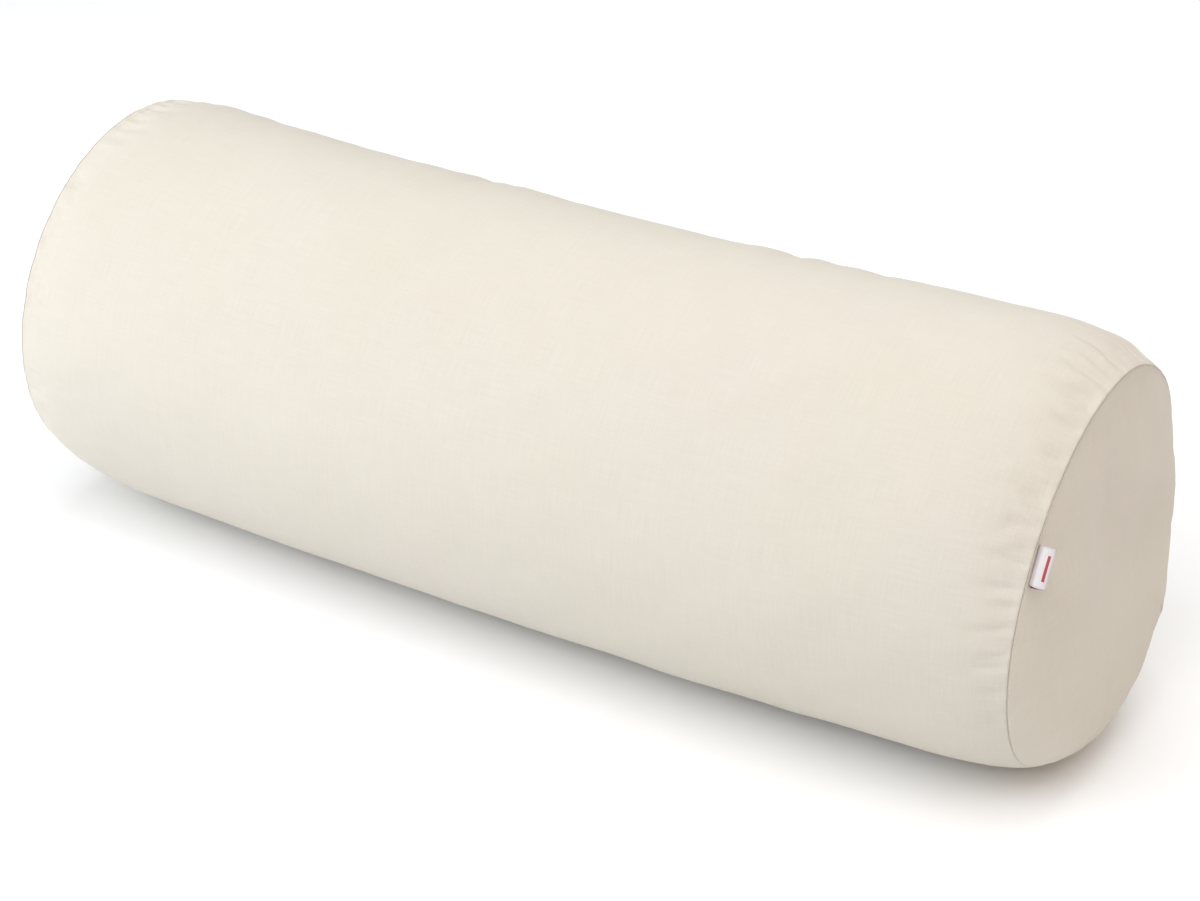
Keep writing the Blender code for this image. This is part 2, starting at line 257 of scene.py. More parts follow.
def settle_cover():
    """Inflate the sewn cover from its cut size, and return how each point moved.

    The seam rings are smaller than the cut tube, so the cloth beside them puckers.
    """
    rows = len(STATIONS)
    x, theta = np.meshgrid(STATIONS, THETA, indexing="ij")
    start = [tube_point(x, theta).reshape(-1, 3)]
    cut = [cut_tube(x, theta).reshape(-1, 3)]
    faces = [grid_faces(rows, ROUND, wrap=True)]
    count = rows * ROUND
    indices = []
    for side in (-1, 1):
        index = np.zeros(LATTICE_U.shape, int)
        index[EDGE] = (0 if side < 0 else (rows - 1) * ROUND) + EDGE_COLUMN[EDGE]
        inner = ~EDGE
        index[inner] = count + np.arange(inner.sum())
        start.append(end_point(side, LATTICE_U[inner], LATTICE_THETA[inner]))
        cut.append(cut_panel(side, LATTICE_U[inner], LATTICE_THETA[inner]))
        faces.append(lattice_faces(index, side < 0))
        count += inner.sum()
        indices.append(index)
    start = np.concatenate(start)
    cut = np.concatenate(cut)
    rng = np.random.default_rng(SEED)
    start = start + rng.normal(0, 0.00012, start.shape)
    obj = make_mesh("settling", start, np.concatenate(faces))
    face_out(obj)
    obj.shape_key_add(name="Basis")
    key = obj.shape_key_add(name="cut")
    key.data.foreach_set("co", cut.reshape(-1))
    cloth = obj.modifiers.new("Cloth", "CLOTH")
    for name, value in CLOTH_SETTINGS.items():
        setattr(cloth.settings, name, value)
    cloth.settings.effector_weights.gravity = 0
    cloth.settings.rest_shape_key = obj.data.shape_keys.key_blocks["cut"]
    cloth.collision_settings.use_collision = False
    cloth.collision_settings.use_self_collision = False
    cloth.point_cache.frame_start = 1
    cloth.point_cache.frame_end = SETTLE_FRAMES
    scene = bpy.context.scene
    for number in range(1, SETTLE_FRAMES + 1):
        scene.frame_set(number)
    evaluated = obj.evaluated_get(bpy.context.evaluated_depsgraph_get())
    settled = np.zeros(len(start) * 3)
    evaluated.data.vertices.foreach_get("co", settled)
    scene.frame_set(1)
    bpy.data.objects.remove(obj)
    moved = settled.reshape(-1, 3) - start
    tube = moved[:rows * ROUND].reshape(rows, ROUND, 3)
    panels = [moved[index] for index in indices]
    return tube, panels


# ---- fine shape of the cloth
PUCKER_CELLS = 2.6  # blur that parts the simulation's folds from its swelling
PUCKER_GAIN = 0.8
PUCKER_CAP = 0.0035  # the most that a simulated fold moves the cloth
PUCKER_DEPTH = 0.0030  # the deepest gather beside a seam


def round_value(field, theta):
    """Values given at the simulated columns, read at these angles: straight lines between columns."""
    j = (theta - ZIP_ANGLE) / COLUMN
    low = np.floor(j).astype(int)
    share = (j - low)[..., None]
    return field[low % ROUND] * (1 - share) + field[(low + 1) % ROUND] * share


def blurred_round(field, cells):
    """A field blurred round the tube only, by this many cells."""
    reach = int(3 * cells)
    offsets = np.arange(-reach, reach + 1)
    weights = np.exp(-0.5 * (offsets / cells) ** 2)
    weights /= weights.sum()
    total = np.zeros(field.shape)
    for offset, weight in zip(offsets, weights):
        total += weight * np.roll(field, offset, axis=1)
    return total


def capped(move, limit):
    """Limit how far each point moves, softly."""
    length = np.linalg.norm(move, axis=-1, keepdims=True)
    return move * limit / (limit + length)


def pucker_detail():
    """Fine folds from the simulation, without its overall swelling: for the tube and both panels."""
    rows = len(STATIONS)
    tube, panels = settle_cover()
    tube_low = blurred_round(tube, PUCKER_CELLS)
    fine = (tube - tube_low) * PUCKER_GAIN
    fine *= looseness(THETA)[None, :, None]
    details = []
    for side, move in zip((-1, 1), panels):
        ring = 0 if side < 0 else rows - 1
        low = move.copy()
        low[EDGE] = tube_low[ring][EDGE_COLUMN[EDGE]]
        for _ in range(50):
            low[1:-1, 1:-1] = (low[:-2, 1:-1] + low[2:, 1:-1] + low[1:-1, :-2] + low[1:-1, 2:]) / 4
        part = (move - low) * PUCKER_GAIN
        part[EDGE] = fine[ring][EDGE_COLUMN[EDGE]]
        details.append(capped(part, PUCKER_CAP))
    return capped(fine, PUCKER_CAP), details


def tube_dents(x, theta):
    """Soft unevenness of the filling under the cloth."""
    rng = np.random.default_rng(SEED + 1)
    broad = waves(x, theta, rng, 14, (0.10, 0.30), (0.09, 0.30))
    small = waves(x, theta, rng, 18, (0.035, 0.09), (0.03, 0.08))
    return (0.00022 * broad + 0.00008 * small) * looseness(theta)


def zip_ripples(x, theta):
    """Small ripples across the cloth on both sides of the zip, whose tapes are a little short."""
    rng = np.random.default_rng(SEED + 40)
    fine = waves(x, theta, rng, 12, (0.012, 0.030), (0.15, 0.60))
    broad = waves(x, theta, rng, 8, (0.030, 0.070), (0.15, 0.60))
    patch = np.clip(0.6 + 0.5 * waves(x, theta, rng, 5, (0.10, 0.25), (0.30, 0.80)), 0, 1.4)
    away = np.degrees(np.abs(angle_from(ZIP_ANGLE, theta)))
    band = smooth(7, 20, away) * (1 - smooth(38, 66, away))
    return (0.00026 * fine + 0.00032 * broad) * patch * band


def seam_puckers(x, theta):
    """Depth of the short folds where the tube's cloth is gathered into an end seam."""
    total = np.zeros(theta.shape)
    for side in (-1, 1):
        rng = np.random.default_rng(SEED + 20 + side)
        place = 0.0
        away = HALF - x * side
        while place < TURN - 0.05:
            place += rng.uniform(0.050, 0.120)
            strength = rng.uniform(0.15, 1.0) * (0.45 + 0.55 * math.sin(place))
            length = rng.uniform(0.014, 0.030)
            half = rng.uniform(0.0015, 0.0029)
            slant = rng.uniform(-0.25, 0.25)
            across = angle_from(place, theta) * R + slant * away
            along = smooth(0, 0.004, away) * (1 - smooth(0.3 * length, length, away))
            total += strength * np.exp(-0.5 * (across / half) ** 2) * along
    return PUCKER_DEPTH * np.tanh(total) * looseness(theta)


def end_dents(side, u, theta):
    rng = np.random.default_rng(SEED + 5 + side)
    y, z = R * u * np.cos(theta), R * u * np.sin(theta)
    total = np.zeros(u.shape)
    for _ in range(16):
        k = TURN / rng.uniform(0.05, 0.15)
        a = rng.uniform(0, TURN)
        total += np.cos(k * (y * math.cos(a) + z * math.sin(a)) + rng.uniform(0, TURN))
    return 0.0009 * total / math.sqrt(8) * (1 - u ** 4)


# ---- the cover
SLOT_END = COIL_HI + 0.0045  # the zip opening's end
SLOT_OPEN = 0.0052  # half its width
SLOT_EASE = 0.030  # the cloth beside it gives way this far
CLOTH = 0.0004
EDGE_GAP = 0.0003  # half the gap between the folded edges
# (distance past the folded edge, depth under the cloth) for the turned-in edges beside the zip
FOLD = [(0.0036, 0.00095), (0.0002, 0.00080), (-0.00026, 0.00040), (-0.00008, 0.00010), (0.0004, 0.00001)]
# (distance short of the seam, depth) where the tube turns in at each end
TUBE_HEM = [(0.00035, 0.00007), (0.00005, 0.00035), (0.0022, 0.0030)]
# (distance past the seam, depth) where an end panel turns in
PANEL_HEM = [(0.00024, 0.00008), (0.00010, 0.00035), (-0.0020, 0.0032)]
PANEL_RIM = 0.0009  # an end panel's last ring before it turns in
SEAM_CALM = 0.35  # share of the fine folds left at the stitched line itself


def slot_half_width(x):
    return SLOT_OPEN * (1 - smooth(SLOT_END - 0.005, SLOT_END + 0.002, np.abs(x)))


def add_thickness(obj, thickness=CLOTH, offset=-1):
    """Turn a sheet into a closed shell; offset -1 leaves its outside unmoved."""
    step = obj.modifiers.new("thickness", "SOLIDIFY")
    step.thickness = thickness
    step.offset = offset
    return step


def build_tube(detail):
    """The long panel: one sheet whose long edges meet at the zip, turned in at both ends."""
    x_rows = [(x, 0.0, i) for i, x in enumerate(STATIONS)]
    last = len(STATIONS) - 1
    x_rows = ([(-(HALF - short), depth, 0) for short, depth in reversed(TUBE_HEM)] + x_rows
              + [(HALF - short, depth, last) for short, depth in TUBE_HEM])
    girth = TURN * R
    columns = [girth * j / FINE for j in range(1, FINE)]
    rows = []
    flat = []
    for x, turn, source in x_rows:
        w = slot_half_width(x)
        points = []
        cloth = []
        for past, depth in FOLD:
            points.append((w + EDGE_GAP + past, depth))
            cloth.append(-depth - past)
        for d in columns:
            far_side = d > girth / 2
            gap = girth - d if far_side else d
            moved = w + gap * (1 - w / SLOT_EASE) if gap < SLOT_EASE else gap
            points.append((girth - moved if far_side else moved, 0.0))
            cloth.append(d)
        for past, depth in reversed(FOLD):
            points.append((girth - w - EDGE_GAP - past, depth))
            cloth.append(girth + depth + past)
        d = np.array([p[0] for p in points])
        depth = np.array([p[1] for p in points]) + turn
        theta = ZIP_ANGLE + d / R
        along = np.full(d.shape, x)
        place = tube_point(along, theta, depth)
        calm = 1 - (1 - SEAM_CALM) * (1 - smooth(0, 0.014, HALF - abs(x)))
        place += round_value(detail[source], theta) * calm
        swell = tube_dents(along, theta) + zip_ripples(along, theta)
        swell = swell * smooth(0, 0.02, HALF - abs(x)) - seam_puckers(along, theta)
        place[:, 1:] += polar(swell, theta)
        place[:, 2] = np.maximum(place[:, 2], LOWEST)
        rows.append(place)
        flat.append(np.stack([along + math.copysign(turn, x), np.array(cloth)], -1))
    faces = grid_faces(len(rows), len(rows[0]))
    obj = make_mesh("cover_long_panel", np.concatenate(rows), faces, np.concatenate(flat))
    face_out_from_axis(obj)
    add_thickness(obj)
    return obj


def face_out_from_axis(obj):
    """Turn an open sheet round the bolster's axis so that its faces look away from it."""
    mesh = obj.data
    facing = 0.0
    for face in mesh.polygons:
        out = Vector((face.center.x * 0.2, face.center.y, face.center.z - AXIS_Z))
        facing += face.area * face.normal.dot(out)
    if facing < 0:
        mesh.flip_normals()


def build_end(side, detail):
    """A round end panel with its rim turned in behind it."""
    end = NEAR if side > 0 else FAR
    name = "cover_end_panel_near" if side > 0 else "cover_end_panel_far"
    rim = 1 - PANEL_RIM / end["seam"]
    detail = detail * (1 - (1 - SEAM_CALM) * smooth(0.86, 1.0, LATTICE_U))[..., None]
    u = LATTICE_U * rim
    points = end_point(side, u, LATTICE_THETA) + detail
    points[..., 0] += side * end_dents(side, u, LATTICE_THETA)
    points[..., 2] = np.maximum(points[..., 2], LOWEST)
    flat_r = end["seam"] * 1.03
    index = np.arange(LATTICE_U.size).reshape(LATTICE_U.shape)
    faces = [lattice_faces(index)]
    # the edge points in order round the rim
    previous = np.zeros(ROUND, int)
    previous[EDGE_COLUMN[EDGE]] = index[EDGE]
    base = end_point(side, np.ones(ROUND), THETA) + detail.reshape(-1, 3)[previous]
    points = [points.reshape(-1, 3)]
    flat = [polar(flat_r * LATTICE_U, LATTICE_THETA).reshape(-1, 2)]
    for hem, (past, depth) in enumerate(PANEL_HEM):
        ring = base + (side * past, 0, 0)
        ring[:, 1:] -= polar(depth, THETA)
        points.append(ring)
        flat.append(polar(flat_r + depth, THETA))
        current = index.size + hem * ROUND + np.arange(ROUND)
        faces.append(np.stack([previous, current, np.roll(current, -1), np.roll(previous, -1)], -1))
        previous = current
    obj = make_mesh(name, np.concatenate(points), np.concatenate(faces), np.concatenate(flat))
    shape = bmesh.new()
    shape.from_mesh(obj.data)
    bmesh.ops.recalc_face_normals(shape, faces=shape.faces)
    centre = Vector((side * HALF, 0, AXIS_Z))
    middle = min(shape.faces, key=lambda face: (face.calc_center_median() - centre).length)
    if middle.normal.x * side < 0:
        bmesh.ops.reverse_faces(shape, faces=shape.faces)
    shape.to_mesh(obj.data)
    shape.free()
    add_thickness(obj)
    return obj


# ---- small sewn and metal pieces
def sweep(paths, radius, name, sides=5):
    """Round threads or wires along paths of points, all in one mesh, with closed ends."""
    points = []
    faces = []
    count = 0
    a = TURN * np.arange(sides) / sides
    guide = np.array([0.0, -math.sin(ZIP_ANGLE), math.cos(ZIP_ANGLE)]) + 1e-3
    for path in paths:
        path = np.asarray(path, float)
        n = len(path)
        tangent = np.gradient(path, axis=0)
        tangent /= np.linalg.norm(tangent, axis=1, keepdims=True)
        across = np.cross(tangent, guide)
        across /= np.linalg.norm(across, axis=1, keepdims=True)
        third = np.cross(tangent, across)
        circle = across[:, None] * np.cos(a)[None, :, None] + third[:, None] * np.sin(a)[None, :, None]
        points.append((path[:, None] + radius * circle).reshape(-1, 3))
        grid = count + np.arange(n * sides).reshape(n, sides)
        around = np.concatenate([grid, grid[:, :1]], 1)
        faces += [tuple(f) for f in lattice_faces(around).tolist()]
        faces.append(tuple(grid[0].tolist()))
        faces.append(tuple(grid[-1][::-1].tolist()))
        count += n * sides
    obj = make_mesh(name, np.concatenate(points), faces)
    face_out(obj)
    return obj


ZIP_OUT = Vector((0, math.cos(ZIP_ANGLE), math.sin(ZIP_ANGLE)))
ZIP_UP = Vector((0, -math.sin(ZIP_ANGLE), math.cos(ZIP_ANGLE)))
PULL_OUT = (PULL_AT - Vector((0, 0, AXIS_Z))).dot(ZIP_OUT)
HINGE_RISE = 0.0034  # the pull's axis stands this far out of the cloth's plane
ZIP_PLANE = PULL_OUT - HINGE_RISE


def zip_place(x, up, out):
    """A point in the zip's own frame: along it, up across it, and out of the cloth."""
    return Vector((float(x), 0, AXIS_Z)) + ZIP_UP * float(up) + ZIP_OUT * float(ZIP_PLANE + out)


def zip_rise(up):
    """How far the curved cloth stands out of the zip's plane, at this distance across it."""
    return math.sqrt(R * R - up * up) - ZIP_PLANE


def join_parts(name, shapes):
    """One object from several bmesh shapes, smooth but for its sharp edges."""
    whole = bpy.data.meshes.new(name)
    gathered = bmesh.new()
    for shape in shapes:
        piece = bpy.data.meshes.new("piece")
        shape.to_mesh(piece)
        shape.free()
        gathered.from_mesh(piece)
        bpy.data.meshes.remove(piece)
    gathered.to_mesh(whole)
    gathered.free()
    obj = bpy.data.objects.new(name, whole)
    bpy.context.scene.collection.objects.link(obj)
    for face in whole.polygons:
        face.use_smooth = True
    whole.set_sharp_from_angle(angle=math.radians(35))
    return obj


def prism(outline, place, low, high, bevel, segments=2):
    """A flat plate: outline of 2-D points, place(a, b, h) puts each in space, rounded edges."""
    shape = bmesh.new()
    bottom = [shape.verts.new(place(a, b, low)) for a, b in outline]
    top = [shape.verts.new(place(a, b, high)) for a, b in outline]
    shape.faces.new(bottom[::-1])
    shape.faces.new(top)
    n = len(outline)
    for i in range(n):
        j = (i + 1) % n
        shape.faces.new((bottom[i], bottom[j], top[j], top[i]))
    bmesh.ops.recalc_face_normals(shape, faces=shape.faces)
    bmesh.ops.bevel(shape, geom=shape.edges[:], offset=bevel, segments=segments,
                    affect="EDGES", profile=0.5, clamp_overlap=True)
    return shape


def rounded(x0, x1, y0, y1, radius):
    """A rectangle with round corners."""
    steps = 4
    outline = []
    for cx, cy, turn in ((x1 - radius, y1 - radius, 0), (x0 + radius, y1 - radius, 1),
                         (x0 + radius, y0 + radius, 2), (x1 - radius, y0 + radius, 3)):
        for i in range(steps + 1):
            a = (turn + i / steps) * math.pi / 2
            outline.append((cx + radius * math.cos(a), cy + radius * math.sin(a)))
    return outline


def build_coil(side, name):
    """One coil of the zip: a nylon wire wound in flat turns, its heads meeting the other coil's."""
    pitch = 0.0015
    turns = int((2 * COIL_HI - 0.001) / pitch)
    steps = 8
    phase = np.arange(turns * steps + 1) / steps
    x = -COIL_HI + 0.0005 + pitch * (phase + (0.5 if side < 0 else 0))
    up = side * (0.00135 + 0.00150 * np.cos(TURN * phase))
    out = 0.0001 + 0.00058 * np.sin(TURN * phase)
    path = [zip_place(a, b, c) for a, b, c in zip(x, up, out)]
    return sweep([path], 0.00030, name)


def build_zip_stitching():
    """Two rows of topstitching beside the zip, and a bar across each end."""
    length, gap = 0.0026, 0.0007
    row = 0.0071
    end = SLOT_END + 0.0035
    paths = []

    def stitch(a, b):
        """One stitch between two (x, up) places, its ends sunk into the cloth."""
        points = []
        for t in (0, 0.2, 0.5, 0.8, 1):
            x = a[0] + (b[0] - a[0]) * t
            up = a[1] + (b[1] - a[1]) * t
            lift = 0.00022 * math.sin(math.pi * t) - 0.00012
            points.append(zip_place(x, up, zip_rise(up) + lift))
        paths.append(points)

    for up in (-row, row):
        for i in range(int(2 * end / (length + gap))):
            x = -end + i * (length + gap)
            stitch((x, up), (x + length, up))
    for x in (-end, end):
        for i in range(int(2 * row / (length + gap)) + 1):
            up = -row + i * (length + gap)
            stitch((x, up), (x, min(up + length, row)))
    return sweep(paths, 0.00022, "zip_topstitching")


def ring_stitches(count, steps, place, name):
    """Stitches round a seam; place(theta, t) is the point at share t of a stitch."""
    paths = [[place(TURN * (i + t) / count, t) for t in steps] for i in range(count)]
    return sweep(paths, 0.00015, name)


def build_seam_stitches(side, detail, name):
    """Stitches across the bottom of an end seam's groove."""
    ring = detail[0 if side < 0 else -1]

    def place(theta, t):
        depth = 0.00026 - 0.00016 * math.sin(math.pi * t)
        move = round_value(ring, np.array(theta)) * SEAM_CALM
        return tube_point(side * HALF, theta, depth) + move + (side * 0.00009, 0, 0)

    return ring_stitches(200, (0.08, 0.3, 0.5, 0.7, 0.92), place, name)


def build_stop(x0, x1, up0, up1, name):
    """A pressed metal stop with a rounded back."""
    shape = prism(rounded(x0, x1, up0, up1, 0.0006), zip_place, -0.0008, 0.0014, 0.0004)
    return join_parts(name, [shape])


def build_slider():
    """The slider: a waisted cap with side flanges, a back plate, and the crown that holds the pull."""
    def at(x, up, out):
        return zip_place(SLIDER_X + x, up, out)

    cap = []
    for i in range(41):
        a = TURN * i / 41
        along = math.copysign(abs(math.cos(a)) ** 0.55, math.cos(a)) * 0.0044
        waist = 0.0048 - 0.0007 * (1 - (along / 0.0044) ** 2)
        cap.append((along, math.copysign(abs(math.sin(a)) ** 0.5, math.sin(a)) * waist))
    shapes = [prism(cap, at, 0.0012, 0.0023, 0.0004, 3)]
    for side in (-1, 1):
        flange = rounded(-0.0041, 0.0041, *sorted((side * 0.0034, side * 0.0043)), 0.0004)
        shapes.append(prism(flange, at, -0.0005, 0.0016, 0.0002))
    shapes.append(prism(rounded(-0.0043, 0.0043, -0.0044, 0.0044, 0.0012), at, -0.0025, -0.0019, 0.0002))

    def arch(a, h, up):
        return zip_place(SLIDER_X + a, up, h)

    turns = [math.pi * i / 12 for i in range(13)]
    crown = [(0.0037 * math.cos(a), 0.0021 + 0.0033 * math.sin(a) ** 0.7) for a in turns]
    crown += [(0.0024 * math.cos(a), 0.0021 + 0.0024 * math.sin(a) ** 0.7) for a in reversed(turns)]
    shapes.append(prism(crown, arch, -0.0008, 0.0008, 0.00025))
    return join_parts("zip_slider_body", shapes)


def build_pull():
    """The pull: an eye round the crown, a slim neck and a leaf-shaped tab with a raised middle."""
    def at(x, up, out):
        return zip_place(SLIDER_X + x, up, HINGE_RISE + out)

    def outline(grow):
        """The leaf, from the eye's end to the tip; grow moves its edge out."""
        edge = []
        for i in range(25):
            t = i / 24
            x = -0.0050 - 0.0212 * t
            half = 0.0020 + 0.0011 * smooth(0.15, 0.8, t) + grow
            half *= math.sqrt(max(0.0, 1 - max(0.0, (t - 0.86) / 0.14) ** 2))
            edge.append((x, half))
        return edge + [(x, -half) for x, half in reversed(edge) if half > 1e-6]

    shapes = [prism(outline(0.0), at, -0.00033, 0.00033, 0.0002)]
    inner = [(x * 0.82 - 0.0028, up * 0.62) for x, up in outline(0.0)]
    shapes.append(prism(inner, at, 0.00010, 0.00045, 0.00018))
    half = 0.00042  # half the thickness of the eye's bars
    for x0, x1, up0, up1, corner, bevel in ((-0.0062, 0.0006, -0.0026, -0.0014, 0.0005, 0.0002),
                                            (-0.0062, 0.0006, 0.0014, 0.0026, 0.0005, 0.0002),
                                            (-0.0064, -0.0050, -0.0026, 0.0026, 0.0005, 0.0002),
                                            (-half, half, -0.0024, 0.0024, 0.0002, 0.0003)):
        shapes.append(prism(rounded(x0, x1, up0, up1, corner), at, -half, half, bevel))
    return join_parts("zip_pull_tab", shapes)


LABEL_ANGLE = math.radians(153.3)
LABEL_WIDTH = 0.019
LABEL_PLY = 0.00022
LABEL_SKEW = 0.0022  # the lower ply runs off this far by its stitched end


def build_label():
    """The side label: a satin ribbon folded in two, its ends caught in the seam."""
    # (distance out of the end, height over the seam), from the stitched end to the fold
    upper = [(0.0002, -0.0060), (0.0004, -0.0030), (0.0008, -0.0016), (0.0016, -0.0010),
             (0.0026, -0.0002), (0.0036, 0.0008), (0.0052, 0.0014), (0.0072, 0.0017), (0.0090, 0.0017)]
    fold = [(0.0097, 0.0015), (0.0098, 0.0011), (0.0095, 0.0009)]
    lower = [(0.0082, 0.0007), (0.0064, 0.0002), (0.0048, -0.0006), (0.0036, -0.0014),
             (0.0027, -0.0022), (0.0019, -0.0030), (0.0010, -0.0036), (0.0006, -0.0060)]
    path = np.array(upper + fold + lower)
    lengths = np.concatenate([[0], np.cumsum(np.linalg.norm(np.diff(path, axis=0), axis=1))])
    across = np.linspace(-0.5, 0.5, 23)
    under = np.clip((lengths - lengths[len(upper) + 1]) / (lengths[-1] - lengths[len(upper) + 1]), 0, 1)
    grid = []
    flat = []
    for w in across:
        curl = 0.0005 * (2 * w) ** 2 - 0.0003 * w
        wave = 0.00015 * math.sin(9 * w + 1)
        points = []
        for (a, n), skew in zip(path, under):
            theta = LABEL_ANGLE + (w * LABEL_WIDTH + LABEL_SKEW * skew) / NEAR["seam"]
            free = smooth(0.001, 0.009, a)
            rise = n + (curl + wave) * free
            lift = np.array([a, rise * math.cos(theta), rise * math.sin(theta)])
            points.append(tube_point(HALF, theta) + lift)
        grid.append(points)
        flat.append(np.stack([lengths, np.full(len(path), (w + 0.5) * LABEL_WIDTH)], -1))
    points = np.array(grid).reshape(-1, 3)
    faces = grid_faces(len(across), len(path))
    obj = make_mesh("side_label_ribbon", points, faces, np.concatenate(flat))
    outward = Vector((0, math.cos(LABEL_ANGLE), math.sin(LABEL_ANGLE)))
    if obj.data.polygons[11 * (len(path) - 1) + 6].normal.dot(outward) < 0:
        obj.data.flip_normals()
    add_thickness(obj, LABEL_PLY, 0).material_offset = 1
    return obj, lengths[-1]


# ---- inner cushion
INNER_ROUND = 96
INNER_IN = 0.0034  # the inner cushion's cloth, inside the cover's
INNER_BACK = 0.0060  # and its seams, inside the cover's seams


def build_inner_tube():
    """The inner cushion's long panel, a plain tube turned in at both ends."""
    inset, back = INNER_IN, INNER_BACK
    theta = TURN / INNER_ROUND * np.arange(INNER_ROUND)
    end = HALF - back
    rows = [tube_point(x, theta, inset) for x in np.linspace(-end, end, 61)]
    around = np.append(theta, TURN)
    for short, depth in TUBE_HEM:
        rows.insert(0, tube_point(short * 0.5 - end, theta, inset + depth))
        rows.append(tube_point(end - short * 0.5, theta, inset + depth))
    faces = grid_faces(len(rows), INNER_ROUND, wrap=True)
    quads = []
    for i in range(len(rows) - 1):
        for j in range(INNER_ROUND):
            corners = [(i, j), (i + 1, j), (i + 1, j + 1), (i, j + 1)]
            quads += [(rows[a][0][0], R * around[b]) for a, b in corners]
    obj = make_mesh("inner_long_panel", np.concatenate(rows), faces, quads)
    face_out_from_axis(obj)
    add_thickness(obj)
    return obj


def build_inner_end(side, name):
    u, theta = LATTICE_U[::2, ::2], LATTICE_THETA[::2, ::2]
    points = end_point(side, u * 0.985, theta, INNER_IN, INNER_BACK)
    faces = lattice_faces(np.arange(u.size).reshape(u.shape))
    obj = make_mesh(name, points.reshape(-1, 3), faces, polar(R * u, theta).reshape(-1, 2))
    if obj.data.polygons[len(faces) // 2].normal.x * side < 0:
        obj.data.flip_normals()
    add_thickness(obj)
    return obj


def build_filling():
    """The stuffing, as the body that fills the inner cushion."""
    theta = TURN / INNER_ROUND * np.arange(INNER_ROUND)
    inset, back = INNER_IN + 0.0012, INNER_BACK + 0.0016
    rows = [end_point(-1, u, theta, inset, back) for u in np.linspace(0.02, 0.96, 12)]
    end = HALF - back - 0.003
    rows += [tube_point(x, theta, inset) for x in np.linspace(-end, end, 50)]
    rows += [end_point(1, u, theta, inset, back) for u in np.linspace(0.96, 0.02, 12)]
    points = np.concatenate(rows)
    faces = [tuple(f) for f in grid_faces(len(rows), INNER_ROUND, wrap=True).tolist()]
    last = len(points) - INNER_ROUND
    faces.append(tuple(range(INNER_ROUND)))
    faces.append(tuple(range(last, last + INNER_ROUND))[::-1])
    obj = make_mesh("stuffing", points, faces)
    face_out(obj)
    return obj


def build_inner_stitches(side, name):
    x = side * (HALF - INNER_BACK + 0.0002)

    def place(theta, t):
        return tube_point(x, theta, INNER_IN + 0.0002 + 0.00075 * abs(t - 0.5))

    return ring_stitches(120, (0.1, 0.5, 0.9), place, name)


def build_closing_stitch():
    """Slanting hand stitches that close the gap where the inner cushion was filled."""
    theta = math.radians(103.5)
    paths = []
    for i in range(30):
        x = -0.073 + 0.005 * i
        paths.append([tube_point(x + dx, theta + turn, INNER_IN - lift)
                      for dx, turn, lift in ((0, -0.012, 0.0), (0.0012, 0.0, 0.0004), (0.0024, 0.012, 0.0))])
    return sweep(paths, 0.0002, "closing_stitches")


# ---- materials
class Nodes:
    """Short calls for building one material's node tree."""

    def __init__(self, name):
        self.material = bpy.data.materials.new(name)
        self.material.use_nodes = True
        self.tree = self.material.node_tree
        self.shader = self.tree.nodes["Principled BSDF"]

    def new(self, kind):
        return self.tree.nodes.new("ShaderNode" + kind)

    def add(self, kind, **inputs):
        node = self.new(kind)
        for key, value in inputs.items():
            self.put(node, key, value)
        return node

    def put(self, node, key, value):
        """Link or set one input, named or numbered as i0, i1; a colour is (red, green, blue)."""
        socket = node.inputs[int(key[1:]) if key[0] == "i" and key[1:].isdigit() else key]
        if isinstance(value, bpy.types.NodeSocket):
            self.tree.links.new(value, socket)
        else:
            socket.default_value = (*value, 1) if socket.type == "RGBA" else value

    def surface(self, colour, roughness, normal=None, **more):
        """Set the shader's sockets; an extra one is named with _ for each space."""
        self.put(self.shader, "Base Color", colour)
        self.put(self.shader, "Roughness", roughness)
        if normal is not None:
            self.put(self.shader, "Normal", normal)
        for key, value in more.items():
            self.put(self.shader, key.replace("_", " "), value)
        return self.material

    def place(self):
        """The object's own coordinates, in metres."""
        return self.new("TexCoord").outputs["Object"]

    def grey(self, shade):
        return self.vector(shade, shade, shade)

    def scaled(self, u, times_u, v, times_v):
        return self.vector(self.maths("MULTIPLY", u, times_u), self.maths("MULTIPLY", v, times_v))

    def ridges(self, value, pitch):
        """Rounded ridges, 0 to 1, one for each pitch."""
        return self.maths("ABSOLUTE", self.maths("SINE", self.maths("MULTIPLY", value, math.pi / pitch)))

    def maths(self, operation, a, b=None, c=None):
        node = self.new("Math")
        node.operation = operation
        for i, value in enumerate((a, b, c)):
            if value is not None:
                self.put(node, f"i{i}", value)
        return node.outputs[0]

    def noise(self, vector, scale, detail=2.0, rough=0.5):
        node = self.add("TexNoise", Vector=vector, Scale=scale, Detail=detail, Roughness=rough)
        return node.outputs["Fac"]

    def vector(self, x, y, z=0.0):
        node = self.new("CombineXYZ")
        for i, value in enumerate((x, y, z)):
            self.put(node, f"i{i}", value)
        return node.outputs[0]

    def mix(self, factor, a, b, blend="MIX"):
        node = self.new("Mix")
        node.data_type = "RGBA"
        node.blend_type = blend
        self.put(node, "i0", factor)
        self.put(node, "i6", a)
        self.put(node, "i7", b)
        return node.outputs[2]

    def spread(self, value, low, high, to_low=0.0, to_high=1.0):
        node = self.new("MapRange")
        for i, v in enumerate((value, low, high, to_low, to_high)):
            self.put(node, f"i{i}", v)
        return node.outputs[0]

    def bump(self, height, distance, strength=1.0, normal=None):
        node = self.add("Bump", Height=height, Distance=distance, Strength=strength)
        if normal is not None:
            self.put(node, "Normal", normal)
        return node.outputs["Normal"]


def cloth_uv(n):
    node = n.new("UVMap")
    node.uv_map = "cloth"
    split = n.add("SeparateXYZ", i0=node.outputs[0])
    return split.outputs[0], split.outputs[1]


